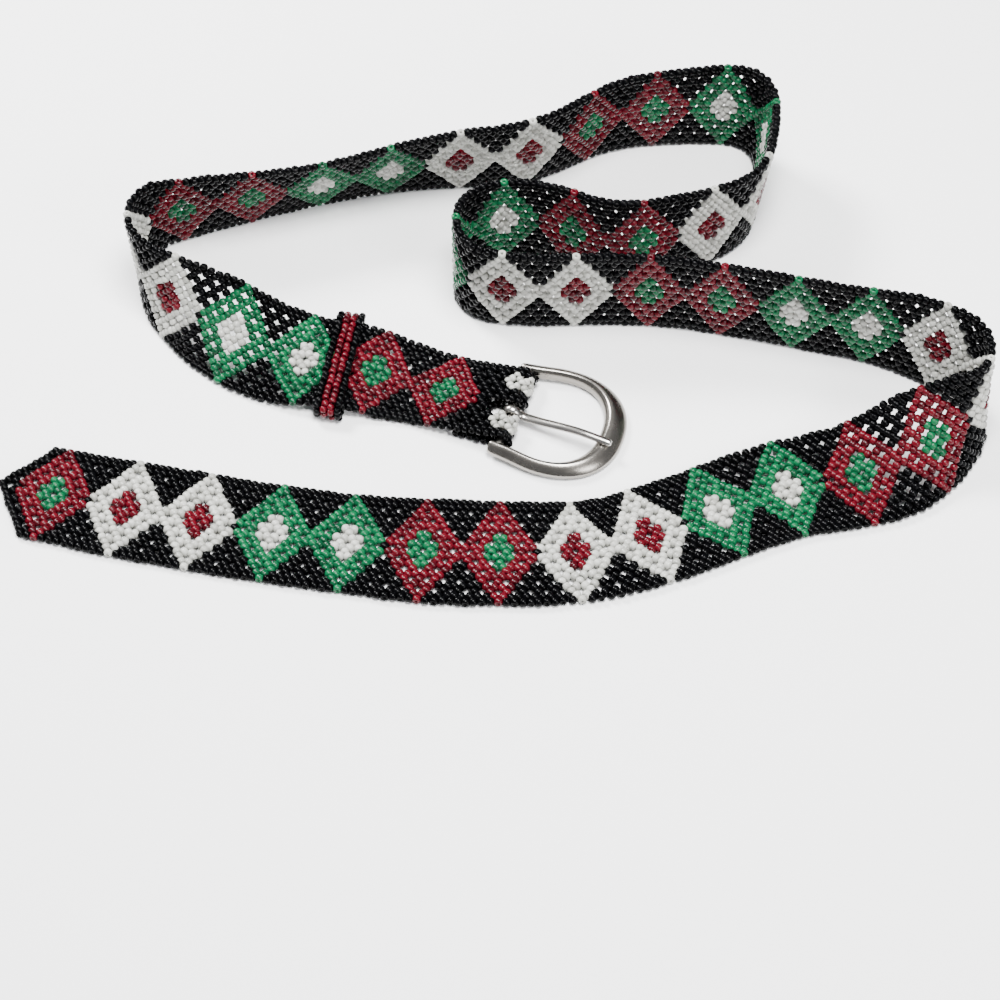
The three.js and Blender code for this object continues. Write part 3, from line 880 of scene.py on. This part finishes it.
# %% Lofting through rings, and the rim
def loft(name, rings, creases=None):
    """A closed mesh through rings of points, with a fan over each end."""
    mesh = bmesh.new()
    crease = mesh.edges.layers.float.new("crease_edge")
    grid = [[mesh.verts.new(p) for p in ring] for ring in rings]
    count = len(grid[0])
    for one, two in zip(grid, grid[1:]):
        for k in range(count):
            face = mesh.faces.new((one[k], one[(k + 1) % count], two[(k + 1) % count], two[k]))
            face.smooth = True
            if creases:
                mesh.edges.get((one[k], two[k]))[crease] = creases[k]
    for ring, turned_round in ((grid[0], True), (grid[-1], False)):
        hub = mesh.verts.new(sum((v.co for v in ring), Vector()) / count)
        for k in range(count):
            here, following = ring[k], ring[(k + 1) % count]
            corners = (hub, following, here) if turned_round else (hub, here, following)
            mesh.faces.new(corners).smooth = True
    bmesh.ops.recalc_face_normals(mesh, faces=mesh.faces)
    mesh.transform(to_buckle)
    made = bpy.data.meshes.new(name)
    mesh.to_mesh(made)
    mesh.free()
    piece = bpy.data.objects.new(name, made)
    bpy.context.collection.objects.link(piece)
    return piece


def rounded_off(piece, levels):
    """Adds a subdivision surface that shows the same in view and render."""
    modifier = piece.modifiers.new("round", "SUBSURF")
    modifier.levels = modifier.render_levels = levels


def rim_ring(inner, outer, tall, keep):
    """The rim's section between its inner and outer edge, drawn in by keep."""
    ring = []
    for out, up, _ in RIM_SECTION:
        flat = Vector(inner).lerp(Vector(outer), 0.5 + (out - 0.5) * keep)
        ring.append(Vector((flat.x, flat.y, (0.5 + (up - 0.5) * keep) * tall - BAR_IN_FRAME)))
    return ring


arm_inner = HEEL_WIDTH / 2 + FRAME_SIDE_GAP

# Share along the arm, how full its section is there, and how far beyond its end that lies.
ARM_STATIONS = (
    (0, 0.55, 0.001), (0, 0.85, 0.0006), (0.04, 1, 0), (0.3, 1, 0), (0.55, 1, 0), (0.8, 1, 0),
)


def arm_rings(side):
    """The rings of one arm, from its end to the start of the bow."""
    rings = []
    for share, keep, past in ARM_STATIONS:
        x = -HEEL_REACH + (BOW_START + HEEL_REACH) * share - past
        inner = arm_inner + ARM_BULGE * float(eased(share, 0, 1))
        rings.append(rim_ring((x, side * inner), (x, side * (inner + ARM_WIDTH)), ARM_HEIGHT, keep))
    return rings


bow_rings = []
BOW_STEPS = 24
for i in range(BOW_STEPS + 1):
    angle = math.pi * (i / BOW_STEPS - 0.5)
    tall = ARM_HEIGHT + (RIM_HEIGHT - ARM_HEIGHT) * math.cos(angle)
    out_share = abs(math.cos(angle)) ** BOW_SQUARENESS
    side_share = math.copysign(abs(math.sin(angle)) ** BOW_SQUARENESS, angle)
    bow_inner = arm_inner + ARM_BULGE
    inner = (BOW_START + (FRAME_REACH - RIM_WIDTH - BOW_START) * out_share, bow_inner * side_share)
    outer = (BOW_START + (FRAME_REACH - BOW_START) * out_share, (bow_inner + ARM_WIDTH) * side_share)
    bow_rings.append(rim_ring(inner, outer, tall, 1))
rim = loft("buckle_rim", arm_rings(-1) + bow_rings + arm_rings(1)[::-1], [c for _, _, c in RIM_SECTION])
rim.data.materials.append(frame_nickel)
rounded_off(rim, 2)
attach(rim, "belt")
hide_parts("buckle_frame")

# %% [markdown]
# ### Bar and tongue
#
# The bar is turned a little thicker where it enters the arms. The tongue is one strip of metal, curled
# round the bar at one end and flattened to a ridge along its top, so it catches a line of light.


# %% Rings round an axis, for the bar and the tongue's curl
def bar_ring(y, radius, sides_round=20):
    """A circle round the bar's axis at a place along it."""
    turns = [2 * math.pi * i / sides_round for i in range(sides_round)]
    return [Vector((radius * math.cos(a), y, radius * math.sin(a))) for a in turns]


# Share of the bar's half length from its middle, and its thickness there as a share of the whole.
BAR_STATIONS = ((-1, 1), (-0.9, 1), (-0.86, 0.97), (0.86, 0.97), (0.9, 1), (1, 1))
reach = arm_inner + ARM_WIDTH / 2
bar = loft("buckle_bar", [bar_ring(y * reach, BAR_RADIUS * r) for y, r in BAR_STATIONS])
bar.data.materials.append(frame_nickel)
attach(bar, "belt")

# %% The tongue
TONGUE_GAP = 0.0003
TONGUE_WIRE = 0.0018
TONGUE_WIDTH = 0.0032
TONGUE_TIP_WIDTH = 0.0026
TONGUE_REACH = 0.0375
TONGUE_TIP_ASIDE = -0.0055
TONGUE_TIP = 0.0008
REST_GAP = 0.0003
CURL_END, CURL_START = 40, 320
CURL_STEPS = 13
BEND_OUT = 0.005
PRONG_STEPS = 14
# Shares of half the width and half the thickness, round the prong's section. Rounding draws it in a
# little, so it starts wider.
PRONG_SECTION = (
    (1.1, -0.6), (1.1, 0.2), (0.66, 0.85), (0, 1.15), (-0.66, 0.85),
    (-1.1, 0.2), (-1.1, -0.6), (-0.7, -1), (0.7, -1),
)
PRONG_CREASES = (0.3, 0.3, 0.4, 0.8, 0.4, 0.3, 0.3, 0.3, 0.3)

curl_radius = BAR_RADIUS + TONGUE_GAP + TONGUE_WIRE / 2
rest_height = RIM_HEIGHT - BAR_IN_FRAME + REST_GAP + TONGUE_WIRE / 2


def prong_ring(middle_point, up, width, thick):
    """The prong's section at a point, standing on the way up."""
    return [middle_point + Vector((0, w * width / 2, 0)) + up * (t * thick / 2) for w, t in PRONG_SECTION]


def prong_point(share):
    """The prong's middle line, from where it leaves the bar, 0, to its tip, 1."""
    x = BEND_OUT + (TONGUE_REACH - TONGUE_TIP - BEND_OUT) * share
    along_prong = x / (TONGUE_REACH - TONGUE_TIP)
    aside = TONGUE_ASIDE + (TONGUE_TIP_ASIDE - TONGUE_ASIDE) * share
    return Vector((x, aside, rest_height * float(eased(along_prong, 0.06, 0.8))))


def on_curl(degrees):
    """The way out from the bar's axis at an angle up from straight ahead."""
    return Vector((math.cos(math.radians(degrees)), 0, math.sin(math.radians(degrees))))


beside = Vector((0, TONGUE_ASIDE, 0))
prong_rings = []
for i in range(CURL_STEPS + 1):
    out = on_curl(CURL_START + (CURL_END - CURL_START) * i / CURL_STEPS)
    prong_rings.append(prong_ring(beside + out * curl_radius, out, TONGUE_WIDTH, TONGUE_WIRE))

# Off the curl it bends out level, along a curve between the last ring and the prong's first.
leave, meet = beside + on_curl(CURL_END) * curl_radius, prong_point(0)
leave_pull = leave + on_curl(CURL_END - 90) * BEND_OUT * 0.3
meet_pull = meet - Vector((BEND_OUT * 0.35, 0, 0))
for share in (0.33, 0.67):
    back = 1 - share
    point = leave * back**3 + leave_pull * 3 * back**2 * share
    point += meet_pull * 3 * back * share**2
    point += meet * share**3
    upward = on_curl(CURL_END + (90 - CURL_END) * share)
    prong_rings.append(prong_ring(point, upward, TONGUE_WIDTH, TONGUE_WIRE))
for i in range(PRONG_STEPS + 1):
    share = i / PRONG_STEPS
    width = TONGUE_WIDTH + (TONGUE_TIP_WIDTH - TONGUE_WIDTH) * share
    prong_rings.append(prong_ring(prong_point(share), Vector((0, 0, 1)), width, TONGUE_WIRE))
tip = prong_point(1) + Vector((TONGUE_TIP * 0.8, 0, 0))
prong_rings.append(prong_ring(tip, Vector((0, 0, 1)), TONGUE_TIP_WIDTH * 0.75, TONGUE_WIRE * 0.6))
tongue = loft("buckle_prong", prong_rings, PRONG_CREASES)
tongue.data.materials.append(tongue_nickel)
rounded_off(tongue, 1)
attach(tongue, "tongue")
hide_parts("buckle_tongue")
